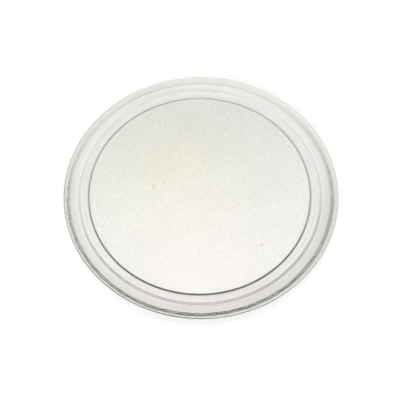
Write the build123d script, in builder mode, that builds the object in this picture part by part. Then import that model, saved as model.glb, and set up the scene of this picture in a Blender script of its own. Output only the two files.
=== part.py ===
"""Microwave turntable plate: one pressing of clear glass, in millimetres.

The plate is a body of revolution about Z. It stands on a flat foot disc at z = 0. Around the disc a
step with bevelled edges leads up to a gently sloped ledge, a bevel leads up to the conical wall, and
under the rim the wall thins over a steep step to a lip with a rounded edge. Radii are worked out from
the rim inwards, so the foot and the floor follow the plate's diameter.
"""

import os
from math import cos, radians, tan

from build123d import *

# Overall size
plate_diameter = 245.0
plate_height = 12.82

# Flat floor, and the step of the foot disc under it: bevelled edge, steep side, bevelled root
floor_thickness = 6.0
foot_step = 2.13
foot_bevel_width = 0.9
foot_bevel_height = 0.81
foot_side_width = 0.2
foot_root_width = 0.8
foot_root_height = 0.72

# Ledge around the foot disc, and the ramp above it from the floor to the knee
ledge_width = 6.2
ledge_angle = 7.1
ramp_width = 6.2
ramp_rise = 1.1

# Bevel under the knee, where the ledge turns up into the wall
knee_bevel_width = 2.2
knee_bevel_height = 1.32

# Conical wall, with its glass measured square to it where the lip's step begins
wall_angle = 24.5
wall_width = 7.3
glass_thickness = 4.37

# Lip at the rim, and the step under it
lip_thickness = 2.28
lip_width = 1.5
lip_step_width = 2.8

# Rounded corners of the section
lip_edge_radius = 1.05
knee_top_radius = 2.0
floor_edge_radius = 10.0

# Slopes, and the depth of the glass straight down through the wall
plate_r = plate_diameter / 2
ledge_slope = tan(radians(ledge_angle))
wall_slope = tan(radians(wall_angle))
wall_depth = glass_thickness / cos(radians(wall_angle))
lip_depth = lip_thickness / cos(radians(wall_angle))

# The lip's edges share its thickness, so neither can be rounder than half of it
lip_round = min(lip_edge_radius, 0.48 * lip_thickness)

# Rounding takes glass off the rim, so its sharp corner stands above the plate's height
rim_half_angle = radians(90 - wall_angle) / 2
rim_z = plate_height - lip_round + lip_round / tan(rim_half_angle)

# Top: the wall falls inwards from the rim to the knee, then the ramp falls to the flat floor
knee_z = floor_thickness + ramp_rise
knee_r = plate_r - (rim_z - knee_z) / wall_slope
floor_r = knee_r - ramp_width

# Underside of the rim: the lip, then the step down to the thicker wall
step_top_r = plate_r - lip_width
step_top_z = rim_z - lip_depth - lip_width * wall_slope
step_foot_r = step_top_r - lip_step_width
step_foot_z = rim_z - wall_depth - (lip_width + lip_step_width) * wall_slope

# Underside further in: the wall, the knee's bevel and the ledge
knee_bevel_r = step_foot_r - wall_width
ledge_outer_r = knee_bevel_r - knee_bevel_width
ledge_inner_r = ledge_outer_r - ledge_width
ledge_outer_z = foot_step + ledge_width * ledge_slope
knee_bevel_z = ledge_outer_z + knee_bevel_height

# The foot's step: its root, its steep side and the bevel at its edge
foot_root_r = ledge_inner_r - foot_root_width
foot_root_z = foot_step - foot_root_height
foot_bevel_r = foot_root_r - foot_side_width
foot_diameter = 2 * (foot_bevel_r - foot_bevel_width)

# Corners of the section that are rounded
lip_lower_edge = (plate_r, rim_z - lip_depth)
lip_upper_edge = (plate_r, rim_z)
knee = (knee_r, knee_z)
floor_edge = (floor_r, floor_thickness)

corner_radii = {
    lip_lower_edge: lip_round,
    lip_upper_edge: lip_round,
    knee: knee_top_radius,
    floor_edge: floor_edge_radius,
}


def corner_near(sketch, point):
    """The sketch's corner that lies on a section point."""
    return sketch.vertices().sort_by_distance((point[0], point[1], 0))[0]


with BuildSketch() as section:
    with BuildLine():
        Polyline(
            (0, 0),
            (foot_diameter / 2, 0),
            (foot_bevel_r, foot_bevel_height),
            (foot_root_r, foot_root_z),
            (ledge_inner_r, foot_step),
            (ledge_outer_r, ledge_outer_z),
            (knee_bevel_r, knee_bevel_z),
            (step_foot_r, step_foot_z),
            (step_top_r, step_top_z),
            lip_lower_edge,
            lip_upper_edge,
            knee,
            floor_edge,
            (0, floor_thickness),
            close=True,
        )
    make_face()
    for corner, radius in corner_radii.items():
        fillet(corner_near(section, corner), radius)

with BuildPart() as turntable_plate:
    with BuildSketch(Plane.XZ):
        add(section.sketch)
    revolve(axis=Axis.Z)

turntable_plate.part.label = "turntable_plate"

os.makedirs("parts", exist_ok=True)
export_step(turntable_plate.part, "parts/turntable_plate.step")

glass_cm3 = turntable_plate.part.volume / 1000
print(f"turntable plate: {glass_cm3:.1f} cm3 of glass on a foot {foot_diameter:.2f} across")
print(f"floor edge at r {floor_r:.2f}, knee at r {knee_r:.2f}, rim corner at z {rim_z:.3f}")
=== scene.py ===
# %% [markdown]
# # A glass turntable plate for a microwave oven
#
# The plate is one pressing of clear glass. Clear glass has hardly any colour of its own, so what the
# eye sees is how the plate bends the light around it: a dark line at each step of the section, an
# olive tint where the light travels far inside the glass, and a fine stipple over the floor. The
# lesson therefore spends its effort on the section, the glass and a calm white set.
#
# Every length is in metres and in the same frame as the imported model: the origin is the centre of
# the foot's underside, and +Z is up.

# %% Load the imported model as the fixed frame
from math import cos, pi, radians, sin, tan

import bpy
from mathutils import Matrix, Vector, noise


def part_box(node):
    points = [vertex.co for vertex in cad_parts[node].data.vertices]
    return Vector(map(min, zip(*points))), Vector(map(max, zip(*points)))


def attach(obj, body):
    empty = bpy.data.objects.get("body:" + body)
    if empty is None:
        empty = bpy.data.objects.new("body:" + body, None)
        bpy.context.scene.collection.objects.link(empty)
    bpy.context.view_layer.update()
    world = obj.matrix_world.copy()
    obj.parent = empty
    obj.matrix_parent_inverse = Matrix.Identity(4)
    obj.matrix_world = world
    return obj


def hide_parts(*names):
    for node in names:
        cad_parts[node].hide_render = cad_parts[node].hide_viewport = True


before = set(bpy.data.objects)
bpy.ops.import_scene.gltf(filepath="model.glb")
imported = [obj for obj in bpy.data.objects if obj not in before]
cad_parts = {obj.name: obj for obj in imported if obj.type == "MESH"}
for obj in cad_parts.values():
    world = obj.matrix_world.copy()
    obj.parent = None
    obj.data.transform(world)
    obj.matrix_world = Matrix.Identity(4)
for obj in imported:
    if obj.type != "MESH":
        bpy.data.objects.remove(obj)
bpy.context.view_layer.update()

MM = 0.001
plate_low, plate_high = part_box("turntable_plate")
plate_radius = min(plate_high.x, plate_high.y, -plate_low.x, -plate_low.y)
plate_height = plate_high.z - plate_low.z
print(f"plate: {2 * plate_radius / MM:.2f} mm across, {plate_height / MM:.2f} mm high")

# %% [markdown]
# ## The section of the pressing
#
# A mould presses the plate, so one section turned about the axis gives its whole form. From the
# middle outwards the underside has a flat foot disc with a bevelled step at its edge, a gentle ledge,
# a bevel under the knee, a conical wall, and a steep step where the wall thins to the lip. The top has
# a flat floor, a shallow ramp and the same conical wall. The steep faces matter most: seen through the
# glass they show as dark lines, and those are what the eye reads.
#
# The sizes repeat those of the solid and are worked out from the rim inwards. The solid keeps the
# small corners sharp. Here each one gets a soft rounding, as hot glass takes in a mould, and the
# foot's step is drawn a little finer.

# %% Sizes of the section, from the rim inwards
lip_round = 1.05 * MM
lip_width = 1.5 * MM
lip_step_width = 2.8 * MM
wall_angle = radians(24.5)
wall_width = 7.3 * MM
knee_bevel_width = 2.2 * MM
ledge_width = 6.2 * MM
ledge_slope = tan(radians(7.1))
foot_step_width = 1.9 * MM
foot_step_height = 2.13 * MM
ramp_width = 6.2 * MM
ramp_rise = 1.1 * MM
floor_z = 6.0 * MM
print(f"sizes: lip {lip_width / MM} mm, wall {wall_width / MM} mm, ledge {ledge_width / MM} mm wide")

# %% Places that follow from the sizes
wall_slope = tan(wall_angle)
rim_z = plate_height - lip_round + lip_round / tan((pi / 2 - wall_angle) / 2)
knee_z = floor_z + ramp_rise
knee_r = plate_radius - (rim_z - knee_z) / wall_slope
floor_r = knee_r - ramp_width
step_top_r = plate_radius - lip_width
step_foot_r = step_top_r - lip_step_width
knee_bevel_r = step_foot_r - wall_width
ledge_outer_r = knee_bevel_r - knee_bevel_width
ledge_inner_r = ledge_outer_r - ledge_width
ledge_inner_z = foot_step_height
ledge_outer_z = ledge_inner_z + ledge_width * ledge_slope
foot_r = ledge_inner_r - foot_step_width
print(f"section: foot {foot_r / MM:.2f}, knee {knee_r / MM:.2f}, rim corner at {rim_z / MM:.2f} mm")

# %% Corners of the foot's step: distance from the axis, height and rounding
under_corners = [
    (foot_r - 0.05 * MM, 0.0, 0.15 * MM),
    (foot_r + 0.85 * MM, 0.66 * MM, 0.8 * MM),
    (foot_r + 1.05 * MM, 0.88 * MM, 0.12 * MM),
    (foot_r + 1.13 * MM, 1.32 * MM, 0.12 * MM),
    (ledge_inner_r + 0.20 * MM, ledge_inner_z + 0.025 * MM, 0.2 * MM),
]
print(f"foot step: {len(under_corners)} corners")

# %% [markdown]
# ## Turned steps
#
# Smooth faces would give hard dark lines. The real plate shows faint rings on the ledge, a soft grey
# line at the knee and a mottled band under the lip. Fine steps, such as a turning tool leaves in a
# mould, break the light in that way. They are too small to see one by one, so their slopes were
# chosen by trial, until the render showed lines about as dark as the photograph does.

# %% Helpers for the turned steps
def on_ledge(radius):
    """The point of the plain ledge at this distance from the axis."""
    return radius, ledge_inner_z + (radius - ledge_inner_r) * ledge_slope


def under_wall(radius, thickness):
    """The point under the conical wall where the glass, square to it, has this thickness."""
    return radius, rim_z - thickness / cos(wall_angle) - (plate_radius - radius) * wall_slope


def turned_steps(start, end, risers, rounding):
    """Corners of small steps between two points. A riser is a slope and a share of the step's width."""
    pitch = (end[0] - start[0]) / len(risers)
    widths = [share * pitch for _, share in risers]
    rises = [width * tan(radians(slope)) for (slope, _), width in zip(risers, widths)]
    tread_slope = (end[1] - start[1] - sum(rises)) / (end[0] - start[0] - sum(widths))
    r, z = start
    steps = []
    for width, rise in zip(widths, rises):
        steps.append((r, z, rounding))
        steps.append((r + width, z + rise, rounding))
        r += pitch
        z += rise + (pitch - width) * tread_slope
    return steps


print(f"ledge: rises to {on_ledge(ledge_outer_r)[1] / MM:.2f} mm")

# %% Steps of the ledge and the knee
ledge_risers = ((83, 0.02), (54, 0.10), (83, 0.02))
ledge_round = 0.01 * MM
ledge_start = on_ledge(ledge_outer_r - 3.4 * MM)
ledge_end = on_ledge(ledge_outer_r - 0.2 * MM)
ledge_steps = turned_steps(ledge_start, ledge_end, ledge_risers, ledge_round)

knee_risers = ((50, 0.62), (83, 0.05), (53, 0.62), (83, 0.05), (57, 0.62))
knee_step_round = 0.02 * MM
knee_start = (ledge_outer_r + 0.5 * MM, ledge_outer_z + 0.06 * MM)
knee_end = (knee_bevel_r + 0.5 * MM, ledge_outer_z + 1.48 * MM)
knee_steps = turned_steps(knee_start, knee_end, knee_risers, knee_step_round)
print(f"turned steps: {len(ledge_steps) // 2} on the ledge, {len(knee_steps) // 2} under the knee")

# %% Steps of the lip
wall_glass = 4.37 * MM
lip_glass = 2.28 * MM
lip_risers = ((83, 0.09), (58, 0.38), (71, 0.30), (60, 0.46), (57, 0.40), (53, 0.30))
lip_step_round = 0.02 * MM
lip_overrun = 0.1 * MM
lip_start = under_wall(step_foot_r - lip_overrun, wall_glass)
lip_end = under_wall(step_top_r + lip_overrun, lip_glass)
lip_steps = turned_steps(lip_start, lip_end, lip_risers, lip_step_round)
print(f"turned steps: {len(lip_steps) // 2} under the lip")

# %% Corners of the whole section
knee_round = 2.0 * MM
floor_edge_round = 10.0 * MM
under_corners += ledge_steps + knee_steps + lip_steps
under_corners.append((*under_wall(plate_radius, lip_glass), lip_round))
top_corners = [
    (plate_radius, rim_z, lip_round),
    (knee_r, knee_z, knee_round),
    (floor_r, floor_z, floor_edge_round),
]
print(f"section: {len(under_corners)} corners under the glass, {len(top_corners)} on top")

# %% Round each corner with a tangent arc
arc_step = radians(16.0)


def rounded_corner(before, corner, after):
    """Points of the arc that rounds a corner between two straight runs."""
    here = Vector(corner[:2])
    rounding = corner[2]
    back = (Vector(before[:2]) - here).normalized()
    on = (Vector(after[:2]) - here).normalized()
    half = back.angle(on) / 2
    centre = here + (back + on).normalized() * (rounding / sin(half))
    start = here + back * (rounding / tan(half)) - centre
    turn = pi - 2 * half
    sense = 1 if back.x * on.y - back.y * on.x < 0 else -1
    count = max(2, round(turn / arc_step))
    arc = []
    for step in range(count + 1):
        angle = sense * turn * step / count
        x = start.x * cos(angle) - start.y * sin(angle)
        y = start.x * sin(angle) + start.y * cos(angle)
        arc.append(centre + Vector((x, y)))
    return arc


corners = [(0, 0), *under_corners, *top_corners, (0, floor_z)]
arcs = [rounded_corner(*three) for three in zip(corners, corners[1:], corners[2:])]
under_arcs = arcs[:len(under_corners)]
top_arcs = arcs[len(under_corners):]
print(f"section: {sum(map(len, arcs))} points on {len(arcs)} rounded corners")

# %% [markdown]
# ## Turning the section into glass
#
# A Screw modifier would turn the section with the same count of points at every radius, which
# crowds the middle and starves the rim. Rings made in code can halve their count as the radius
# shrinks and double it where the relief is fine, so the triangles stay even and there are enough of
# them for the mould's texture to be real geometry that bends light from any side.

# %% How many points a ring has
disc_count = 448
fewest_on_disc = 20
plain_count = 224
rough_inner = step_foot_r - 1.0 * MM
rough_outer = step_top_r + 0.2 * MM
doubled_from = rough_inner - 1.0 * MM


def disc_points(radius):
    """How many points a ring of the disc has: half as many each time the radius halves."""
    count = disc_count
    while count > fewest_on_disc and radius < 0.5 * foot_r * count / disc_count:
        count //= 2
    return count


def edge_points(radius):
    """How many points a ring of the ledge, wall or lip has: most where the step is rough."""
    if rough_inner < radius < rough_outer:
        return 4 * plain_count
    if radius > doubled_from:
        return 2 * plain_count
    return plain_count


print(f"rough step: from r {rough_inner / MM:.2f} to {rough_outer / MM:.2f} mm")

# %% How close the rings are
stipple_step = 1.7 * MM
plain_step = 0.75 * MM
ripple_step = 0.36 * MM
rough_step = 0.33 * MM


def run_between(start, end):
    """Points inside a straight run, closer together where the glass is rough or rippled."""
    spacing = plain_step
    if end.x > rough_inner and start.x < rough_outer:
        spacing = rough_step
    elif start.y < end.y and start.x > foot_r and end.x < knee_bevel_r:
        spacing = ripple_step
    count = max(1, round((end - start).length / spacing))
    return [start.lerp(end, k / count) for k in range(1, count)]


def side_of(arcs):
    """The points of a row of arcs and of the straight runs between them."""
    points = list(arcs[0])
    for one, two in zip(arcs, arcs[1:]):
        points += run_between(one[-1], two[0]) + two
    return points


print(f"rings: {stipple_step / MM} mm apart under the floor, {rough_step / MM} mm under the lip")

# %% Stations of the section, from the underside's centre over the lip to the floor's centre
disc_radii = [stipple_step * k for k in range(1, round(under_arcs[0][0].x / stipple_step))]
stations = [(radius, 0.0, disc_points(radius)) for radius in disc_radii]
stations += [(point.x, point.y, edge_points(point.x)) for point in side_of(under_arcs)]
first_top = len(stations)
stations += [(point.x, point.y, plain_count) for point in side_of(top_arcs)]
flat_r = top_arcs[-1][-1].x
flat_shares = (0.75, 0.4, 0.2, 0.1)
for k, share in enumerate(flat_shares, start=1):
    stations.append((flat_r * share, floor_z, plain_count // 2 ** k))
print(f"stations: {len(stations)} rings, {sum(count for _, _, count in stations)} points")

# %% [markdown]
# ## The relief that the mould leaves
#
# The underside carries the mould's texture, so that the top wipes clean. Under the floor it is a
# shallow stipple, round the ledge it is a set of fine turned ripples, and on the steep step under
# the lip it is coarse and uneven, which breaks the dark band there into short dashes. The grains
# come from a Voronoi noise, which is the same on every run. The stipple's dents go up into the
# glass, so the plate still stands on z = 0.

# %% Helpers for the relief
pebble_plane = 0.5
pebble_gain = 1.6


def fade(value, start, end):
    """0 before start, 1 after end, smooth between."""
    t = min(1.0, max(0.0, (value - start) / (end - start)))
    return t * t * (3 - 2 * t)


def inside(value, low, high, edge):
    """1 between two limits, with soft edges inside them."""
    return fade(value, low, low + edge) * (1 - fade(value, high - edge, high))


def pebble(x, y, grain):
    """Rounded grains from 0 to 1, packed at random but always the same."""
    nearest = noise.voronoi(Vector((x / grain, y / grain, pebble_plane)))[0][0]
    return min(1.0, nearest * nearest * pebble_gain)


print(f"relief: a pebble at the centre is {pebble(0.0, 0.0, MM):.2f} high")

# %% Relief of each zone of the underside
stipple_grain = 2.4 * MM
stipple_depth = 0.10 * MM
stipple_full = foot_r - 3.0 * MM
stipple_end = foot_r - 1.0 * MM
ripple_pitch = 1.45 * MM
ripple_depth = 0.03 * MM
ripple_edge = 1.5 * MM
rough_grain = 1.1 * MM
rough_depth = 0.45 * MM
rough_edge = 1.2 * MM


def relief(x, y, r):
    """How far the mould's texture moves a point of the underside up."""
    if r < stipple_end:
        share = 1 - fade(r, stipple_full, stipple_end)
        return stipple_depth * pebble(x, y, stipple_grain) * share
    if ledge_inner_r < r < ledge_outer_r:
        wave = 0.5 - 0.5 * cos(2 * pi * (r - ledge_inner_r) / ripple_pitch)
        return ripple_depth * wave * inside(r, ledge_inner_r, ledge_outer_r, ripple_edge)
    if rough_inner < r < rough_outer:
        share = inside(r, rough_inner, rough_outer, rough_edge)
        return rough_depth * share * (pebble(x, y, rough_grain) - 0.5)
    return 0.0


print(f"relief: stipple {stipple_depth / MM:.2f} mm, ripples {ripple_depth / MM:.2f} mm deep")

# %% [markdown]
# In the photograph the lines of the foot and of the lip aren't quite centred on the rim. Parts of a
# mould seldom meet exactly, so here the underside's foot and lip sit off the axis by less than half a
# millimetre. The offset fades out across the ledge and towards the rim, so that nothing tears.

# %% Parts of the mould that sit off the axis
lip_slip = Vector((-0.45, 0.0)) * MM
foot_slip = Vector((0.0, -0.4)) * MM
foot_slip_end = ledge_inner_r + 0.3 * MM


def slip(radius):
    """How far a ring of the underside sits off the axis."""
    past_ledge = fade(radius, ledge_outer_r, step_foot_r)
    before_rim = 1 - fade(radius, step_top_r, plate_radius)
    on_foot = 1 - fade(radius, foot_slip_end, ledge_outer_r)
    return lip_slip * (past_ledge * before_rim) + foot_slip * on_foot


print(f"slip: {lip_slip.length / MM:.2f} mm at the lip, {foot_slip.length / MM:.2f} mm at the foot")

# %% Rings of points
verts = [(0.0, 0.0, 0.0)]


def ring(radius, height, count, on_top):
    """Adds a ring of points to the mesh and returns their numbers."""
    first = len(verts)
    centre = Vector((0.0, 0.0)) if on_top else slip(radius)
    for k in range(count):
        x = radius * cos(2 * pi * k / count)
        y = radius * sin(2 * pi * k / count)
        lift = 0.0 if on_top else relief(x, y, radius)
        verts.append((centre.x + x, centre.y + y, height + lift))
    return [first + k for k in range(count)]


rings = [ring(r, z, count, k >= first_top) for k, (r, z, count) in enumerate(stations)]
verts.append((0.0, 0.0, floor_z))
print(f"rings: {len(rings)} with {len(verts)} points")

# %% Faces between the rings
faces = []


def bridge(a, b):
    """Joins two rings whose counts are equal, or one twice the other."""
    m, n = len(a), len(b)
    for k in range(min(m, n)):
        if m == n:
            faces.append((a[k], a[(k + 1) % m], b[(k + 1) % n], b[k]))
        elif n == 2 * m:
            faces.append((a[k], b[2 * k + 1], b[2 * k]))
            faces.append((a[k], a[(k + 1) % m], b[2 * k + 1]))
            faces.append((a[(k + 1) % m], b[(2 * k + 2) % n], b[2 * k + 1]))
        else:
            faces.append((a[2 * k], a[2 * k + 1], b[k]))
            faces.append((a[2 * k + 1], b[(k + 1) % n], b[k]))
            faces.append((a[2 * k + 1], a[(2 * k + 2) % m], b[(k + 1) % n]))


for one, two in zip(rings, rings[1:]):
    bridge(one, two)
under_middle, floor_middle = rings[0], rings[-1]
under_point, floor_point = 0, len(verts) - 1
for k, point in enumerate(under_middle):
    faces.append((under_point, under_middle[(k + 1) % len(under_middle)], point))
for k, point in enumerate(floor_middle):
    faces.append((floor_point, point, floor_middle[(k + 1) % len(floor_middle)]))
print(f"rings: {len(faces)} faces")

# %% The plate as one piece that stands for the solid
glass_mesh = bpy.data.meshes.new("glass_plate")
glass_mesh.from_pydata(verts, [], faces)
glass_mesh.shade_smooth()
glass_mesh.update()
plate = bpy.data.objects.new("glass_plate", glass_mesh)
bpy.context.scene.collection.objects.link(plate)
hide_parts("turntable_plate")
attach(plate, "root")
glass_mesh.calc_loop_triangles()
print(f"glass plate: {len(glass_mesh.loop_triangles)} triangles")

# %% [markdown]
# ## The glass
#
# Soda-lime glass is clear and smooth, and takes a little light along the way, least of all in the
# green. Painting the edges green would be wrong from any other side. A Volume Absorption works on
# the length of each ray's path instead, so the thin floor stays clear and the rim turns olive.

# %% Glass material
take_per_metre = Vector((13.6, 12.0, 16.4))
density = 40.0
refraction = 1.52
polish = 0.02

glass = bpy.data.materials.new("clear_glass")
glass.use_nodes = True
nodes = glass.node_tree.nodes
links = glass.node_tree.links
body = nodes["Principled BSDF"]
body.inputs["Roughness"].default_value = polish
body.inputs["IOR"].default_value = refraction
body.inputs["Transmission Weight"].default_value = 1.0
tint = nodes.new("ShaderNodeVolumeAbsorption")
tint.inputs["Color"].default_value = (*(1 - take / density for take in take_per_metre), 1.0)
tint.inputs["Density"].default_value = density
links.new(tint.outputs["Volume"], nodes["Material Output"].inputs["Volume"])
glass_mesh.materials.append(glass)
print(f"glass: index of refraction {refraction}, takes {tuple(take_per_metre)} per metre")

# %% [markdown]
# ## The film of use, and painted shade on the wall
#
# A used plate is never quite clean. Washing leaves a thin film that settles in the stipple, is
# faintly olive on the lip, yellows in the middle where food stood, and holds a few burnt specks. The
# wall is darkened too: that is painted shade, standing in for the shadow on the paper under the rim,
# not a film. One flat tint would look like new glass. A painted picture would need a texture
# file. Noise and soft spots on the plate's own coordinates need none, and they stay on the plate from
# any side. Each layer multiplies the one under it, as films on glass do.

# %% Helpers that measure a place on the plate
place = nodes.new("ShaderNodeTexCoord").outputs["Object"]
flat = nodes.new("ShaderNodeVectorMath")
flat.operation = "MULTIPLY"
flat.inputs[1].default_value = (1.0, 1.0, 0.0)
links.new(place, flat.inputs[0])


def away_from(x, y):
    """Distance from a point of the plate, seen from above."""
    node = nodes.new("ShaderNodeVectorMath")
    node.operation = "DISTANCE"
    node.inputs[1].default_value = (x, y, 0.0)
    links.new(flat.outputs[0], node.inputs[0])
    return node.outputs["Value"]


def stretched(value, start, end):
    """A value brought to the range from 0 at start to 1 at end, smoothly."""
    node = nodes.new("ShaderNodeMapRange")
    node.interpolation_type = "SMOOTHSTEP"
    node.inputs["From Min"].default_value = start
    node.inputs["From Max"].default_value = end
    links.new(value, node.inputs["Value"])
    return node.outputs[0]


def cloud(size, start, end):
    """Soft patches of about this size."""
    node = nodes.new("ShaderNodeTexNoise")
    node.inputs["Scale"].default_value = 1 / size
    node.inputs["Detail"].default_value = 2.0
    links.new(place, node.inputs["Vector"])
    return stretched(node.outputs[0], start, end)


print(f"film: {len(nodes)} nodes so far")

# %% Helpers that combine
def calculate(operation, first, second):
    """A Math node on two sockets or numbers, in the node tree at hand."""
    node = nodes.new("ShaderNodeMath")
    node.operation = operation
    for socket, value in zip(node.inputs, (first, second)):
        if isinstance(value, (int, float)):
            socket.default_value = value
        else:
            links.new(value, socket)
    return node.outputs[0]


def layer(under, amount, colour):
    """A film of some colour over what is under it, by an amount from 0 to 1."""
    node = nodes.new("ShaderNodeMix")
    node.data_type = "RGBA"
    node.blend_type = "MULTIPLY"
    links.new(amount, node.inputs[0])
    if isinstance(under, tuple):
        node.inputs[6].default_value = under
    else:
        links.new(under, node.inputs[6])
    node.inputs[7].default_value = (*colour, 1.0)
    return node.outputs[2]


print(f"film: {len(nodes)} nodes before its layers")

# %% Where each layer of the film lies
from_axis = away_from(0.0, 0.0)
on_floor = stretched(from_axis, 104.0 * MM, 100.0 * MM)
in_stipple = calculate("MULTIPLY", cloud(3.0 * MM, 0.41, 0.59), on_floor)
under_food = stretched(away_from(-18.0 * MM, 12.0 * MM), 105.0 * MM, 20.0 * MM)
near_edge = stretched(away_from(0.0, -80.0 * MM), 90.0 * MM, 20.0 * MM)
# Painted shade: the wall is darkened where the paper under the rim lies in shadow
painted_wall_shade = stretched(from_axis, 109.5 * MM, 116.5 * MM)
on_lip = stretched(from_axis, 116.5 * MM, 119.0 * MM)
in_patches = cloud(40.0 * MM, 0.4, 0.7)
print(f"film: {len(nodes)} nodes with its places")

# %% Layers of the film and the painted wall shade, from the glass up
clean = (1.0, 0.981, 1.0, 1.0)
film_layers = (
    (in_stipple, (0.945, 0.945, 0.945)),
    (on_floor, (0.986, 0.992, 0.98)),
    (under_food, (1.0, 0.995, 0.953)),
    (near_edge, (1.0, 0.982, 0.99)),
    # painted shade of the rim on the wall, not a film
    (painted_wall_shade, (0.862, 0.862, 0.85)),
    (on_lip, (0.974, 1.0, 0.954)),
    (in_patches, (0.985, 0.985, 0.98)),
)
film = clean
for amount, colour in film_layers:
    film = layer(film, amount, colour)
print(f"film: {len(film_layers)} layers")

# %% Burnt specks: place, size and colour
specks = (
    (-39.9 * MM, -3.9 * MM, 1.8 * MM, (0.82, 0.77, 0.66)),
    (-31.1 * MM, 0.7 * MM, 1.4 * MM, (0.84, 0.80, 0.70)),
    (54.5 * MM, -59.9 * MM, 1.6 * MM, (0.93, 0.72, 0.76)),
)
speck_core = 0.3
for x, y, size, colour in specks:
    film = layer(film, stretched(away_from(x, y), size, speck_core * size), colour)
links.new(film, body.inputs["Base Color"])
print(f"film: {len(specks)} specks")

# %% [markdown]
# ## The white floor
#
# The plate lies on white paper. A glowing floor would wash out the plate's own shadow, so the paper
# is a plain matt white that the light brings to full white, and it darkens under the rim by itself.

# %% White paper
paper_half = 1.6
paper_gap = 0.2 * MM
paper_white = 0.95
paper_corners = ((-1, -1), (1, -1), (1, 1), (-1, 1))
paper_points = [(x * paper_half, y * paper_half, -paper_gap) for x, y in paper_corners]
paper_mesh = bpy.data.meshes.new("white_paper")
paper_mesh.from_pydata(paper_points, [], [(0, 1, 2, 3)])
paper_sheet = bpy.data.objects.new("white_paper", paper_mesh)
bpy.context.scene.collection.objects.link(paper_sheet)
print(f"paper: {2 * paper_half:.1f} m square, {paper_gap / MM:.1f} mm under the foot")

# %% Paper material
paper = bpy.data.materials.new("white_paper")
paper.use_nodes = True
nodes = paper.node_tree.nodes
links = paper.node_tree.links
nodes.clear()
matt = nodes.new("ShaderNodeBsdfDiffuse")
matt.inputs["Color"].default_value = (paper_white, paper_white, paper_white, 1.0)
out = nodes.new("ShaderNodeOutputMaterial")
links.new(matt.outputs[0], out.inputs["Surface"])
paper_mesh.materials.append(paper)
print(f"paper: matt white {paper_white}")

# %% [markdown]
# ## The light
#
# A window behind the camera and a long soft strip overhead light the set. Lamps would do as well,
# but as formulas on the sky they stay soft and free of noise. The floor of the plate mirrors the
# strip: its near half mirrors the strip's bright middle and its far half looks past the strip, which
# makes the floor brighter towards the viewer.

# %% Sky nodes
world = bpy.data.worlds.new("studio")
bpy.context.scene.world = world
world.use_nodes = True
nodes = world.node_tree.nodes
links = world.node_tree.links
nodes.clear()
direction = nodes.new("ShaderNodeTexCoord").outputs["Generated"]


def ramp(value, start, end, level):
    """A level that grows from 0 at start to its full height at end."""
    node = nodes.new("ShaderNodeMapRange")
    node.inputs["From Min"].default_value = start
    node.inputs["From Max"].default_value = end
    node.inputs["To Max"].default_value = level
    links.new(value, node.inputs["Value"])
    return node.outputs[0]


print(f"sky: world {world.name}")

# %% Window behind the camera
window_axis = Vector((-0.15, -0.8, 0.58)).normalized()
window_level = 2.3
window_edge = 0.5
window_full = 0.95

towards_window = nodes.new("ShaderNodeVectorMath")
towards_window.operation = "DOT_PRODUCT"
towards_window.inputs[1].default_value = window_axis
links.new(direction, towards_window.inputs[0])
window = ramp(towards_window.outputs["Value"], window_edge, window_full, window_level)
print(f"sky: window at level {window_level}")

# %% [markdown]
# The strip is easiest to shape on a flat ceiling. A direction divided by its own height gives the
# point where it meets a ceiling one unit up: the lean says how far off in Y, and aside says how far
# to either side in X.

# %% Strip overhead
strip_level = 2.0
strip_far = 0.80
strip_far_soft = 0.32
peak_level = 0.9
peak_far = 0.50
peak_far_soft = 0.28
strip_near = -0.10
strip_near_full = 0.15
strip_taper = 0.9
lowest = 0.05

split = nodes.new("ShaderNodeSeparateXYZ")
links.new(direction, split.inputs[0])
height = calculate("MAXIMUM", split.outputs["Z"], lowest)
lean = calculate("DIVIDE", split.outputs["Y"], height)
aside = calculate("ABSOLUTE", calculate("DIVIDE", split.outputs["X"], height), 0.0)
strip_fall = ramp(calculate("SUBTRACT", strip_far, lean), 0.0, strip_far_soft, strip_level)
strip_peak = ramp(calculate("SUBTRACT", peak_far, lean), 0.0, peak_far_soft, peak_level)
taper = calculate("SUBTRACT", 1.0, calculate("MULTIPLY", aside, strip_taper))
strip_ends = ramp(taper, 0.0, 1.0, 1.0)
strip_rise = calculate("MULTIPLY", ramp(lean, strip_near, strip_near_full, 1.0), strip_ends)
strip = calculate("MULTIPLY", calculate("ADD", strip_fall, strip_peak), strip_rise)
print(f"sky: strip at level {strip_level}, with {peak_level} more in its middle")

# %% Sky with the dim room around them
room_level = 0.15
sky = nodes.new("ShaderNodeBackground")
sky.inputs["Color"].default_value = (1.0, 1.0, 1.0, 1.0)
lights = calculate("ADD", window, strip)
links.new(calculate("ADD", lights, room_level), sky.inputs["Strength"])
print(f"sky: room at level {room_level}")

# %% [markdown]
# From low down the camera looks past the end of the paper. There the camera alone sees a plain
# white. Light, reflections and what shows through the glass still come from the sky.

# %% White behind the set, for the camera alone
plain = nodes.new("ShaderNodeBackground")
plain.inputs["Color"].default_value = (1.0, 1.0, 1.0, 1.0)
path = nodes.new("ShaderNodeLightPath")
mix = nodes.new("ShaderNodeMixShader")
links.new(path.outputs["Is Camera Ray"], mix.inputs["Fac"])
links.new(sky.outputs[0], mix.inputs[1])
links.new(plain.outputs[0], mix.inputs[2])
out = nodes.new("ShaderNodeOutputWorld")
links.new(mix.outputs[0], out.inputs["Surface"])
print("world: plain white behind the paper")

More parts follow.
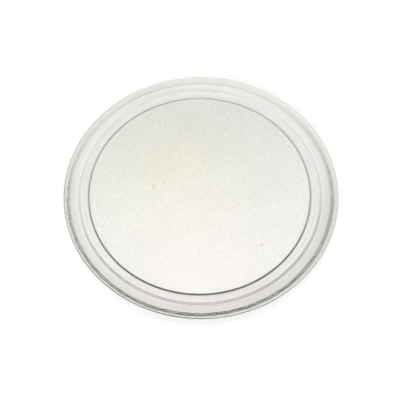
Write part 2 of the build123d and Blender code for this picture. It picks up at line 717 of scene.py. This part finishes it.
# %% [markdown]
# ## The camera
#
# The photograph was taken from close by and well above, with the plate left of the middle. Its ring
# lines were measured and a pinhole camera was fitted to them, which gives the viewing angle, the
# distance and a small roll. The frame isn't centred on the lens, so a lens shift moves it.

# %% Direction of the camera
elevation = radians(61.23)
aim_left = radians(4.67)
aim_down = radians(2.52)
roll = radians(-0.50)

to_plate = Vector((0, cos(elevation), -sin(elevation)))
upward = Vector((0, sin(elevation), cos(elevation)))
across = Vector((1, 0, 0))
gaze = (to_plate - tan(aim_left) * across - tan(aim_down) * upward).normalized()
side = gaze.cross(upward).normalized()
top = side.cross(gaze)
cam_x = side * cos(roll) + top * sin(roll)
cam_y = top * cos(roll) - side * sin(roll)
print(f"camera: looks along {tuple(round(part, 3) for part in gaze)}")

# %% Camera at the photograph's viewing angle
frame_px = 400
focal_px = 377.0
axis_px = 165.7
distance = 350.9 * MM
target = Vector((0, 0, 3.6 * MM))

camera_data = bpy.data.cameras.new("camera")
camera_data.sensor_width = 36.0
camera_data.lens = focal_px / frame_px * camera_data.sensor_width
camera_data.shift_x = 0.5 - (axis_px + 0.5) / frame_px
camera_data.shift_y = 0.5 / frame_px
camera_data.clip_start = 0.01
camera = bpy.data.objects.new("camera", camera_data)
turn = Matrix((cam_x, cam_y, -gaze)).transposed()
camera.matrix_world = Matrix.Translation(target - to_plate * distance) @ turn.to_4x4()
bpy.context.scene.collection.objects.link(camera)
bpy.context.scene.camera = camera
print(f"camera: {camera_data.lens:.1f} mm lens, {camera.matrix_world.translation}")

# %% [markdown]
# ## Plain colours and deep light paths
#
# Standard keeps a colour as it is written. Light that is caught in the rim of the glass is mirrored
# many times before it comes out, and with few bounces it is lost and the rim turns black. More
# bounces let it out, with the olive tint of its long way through the glass. Glossy blur is off
# because it would dim what lies under the glass.

# %% Render settings that the glass needs
most_bounces = 48
bpy.context.scene.view_settings.view_transform = "Standard"
cycles = bpy.context.scene.cycles
cycles.blur_glossy = 0.0
cycles.max_bounces = most_bounces
cycles.glossy_bounces = most_bounces
cycles.transmission_bounces = most_bounces
print(f"light paths: up to {most_bounces} bounces")
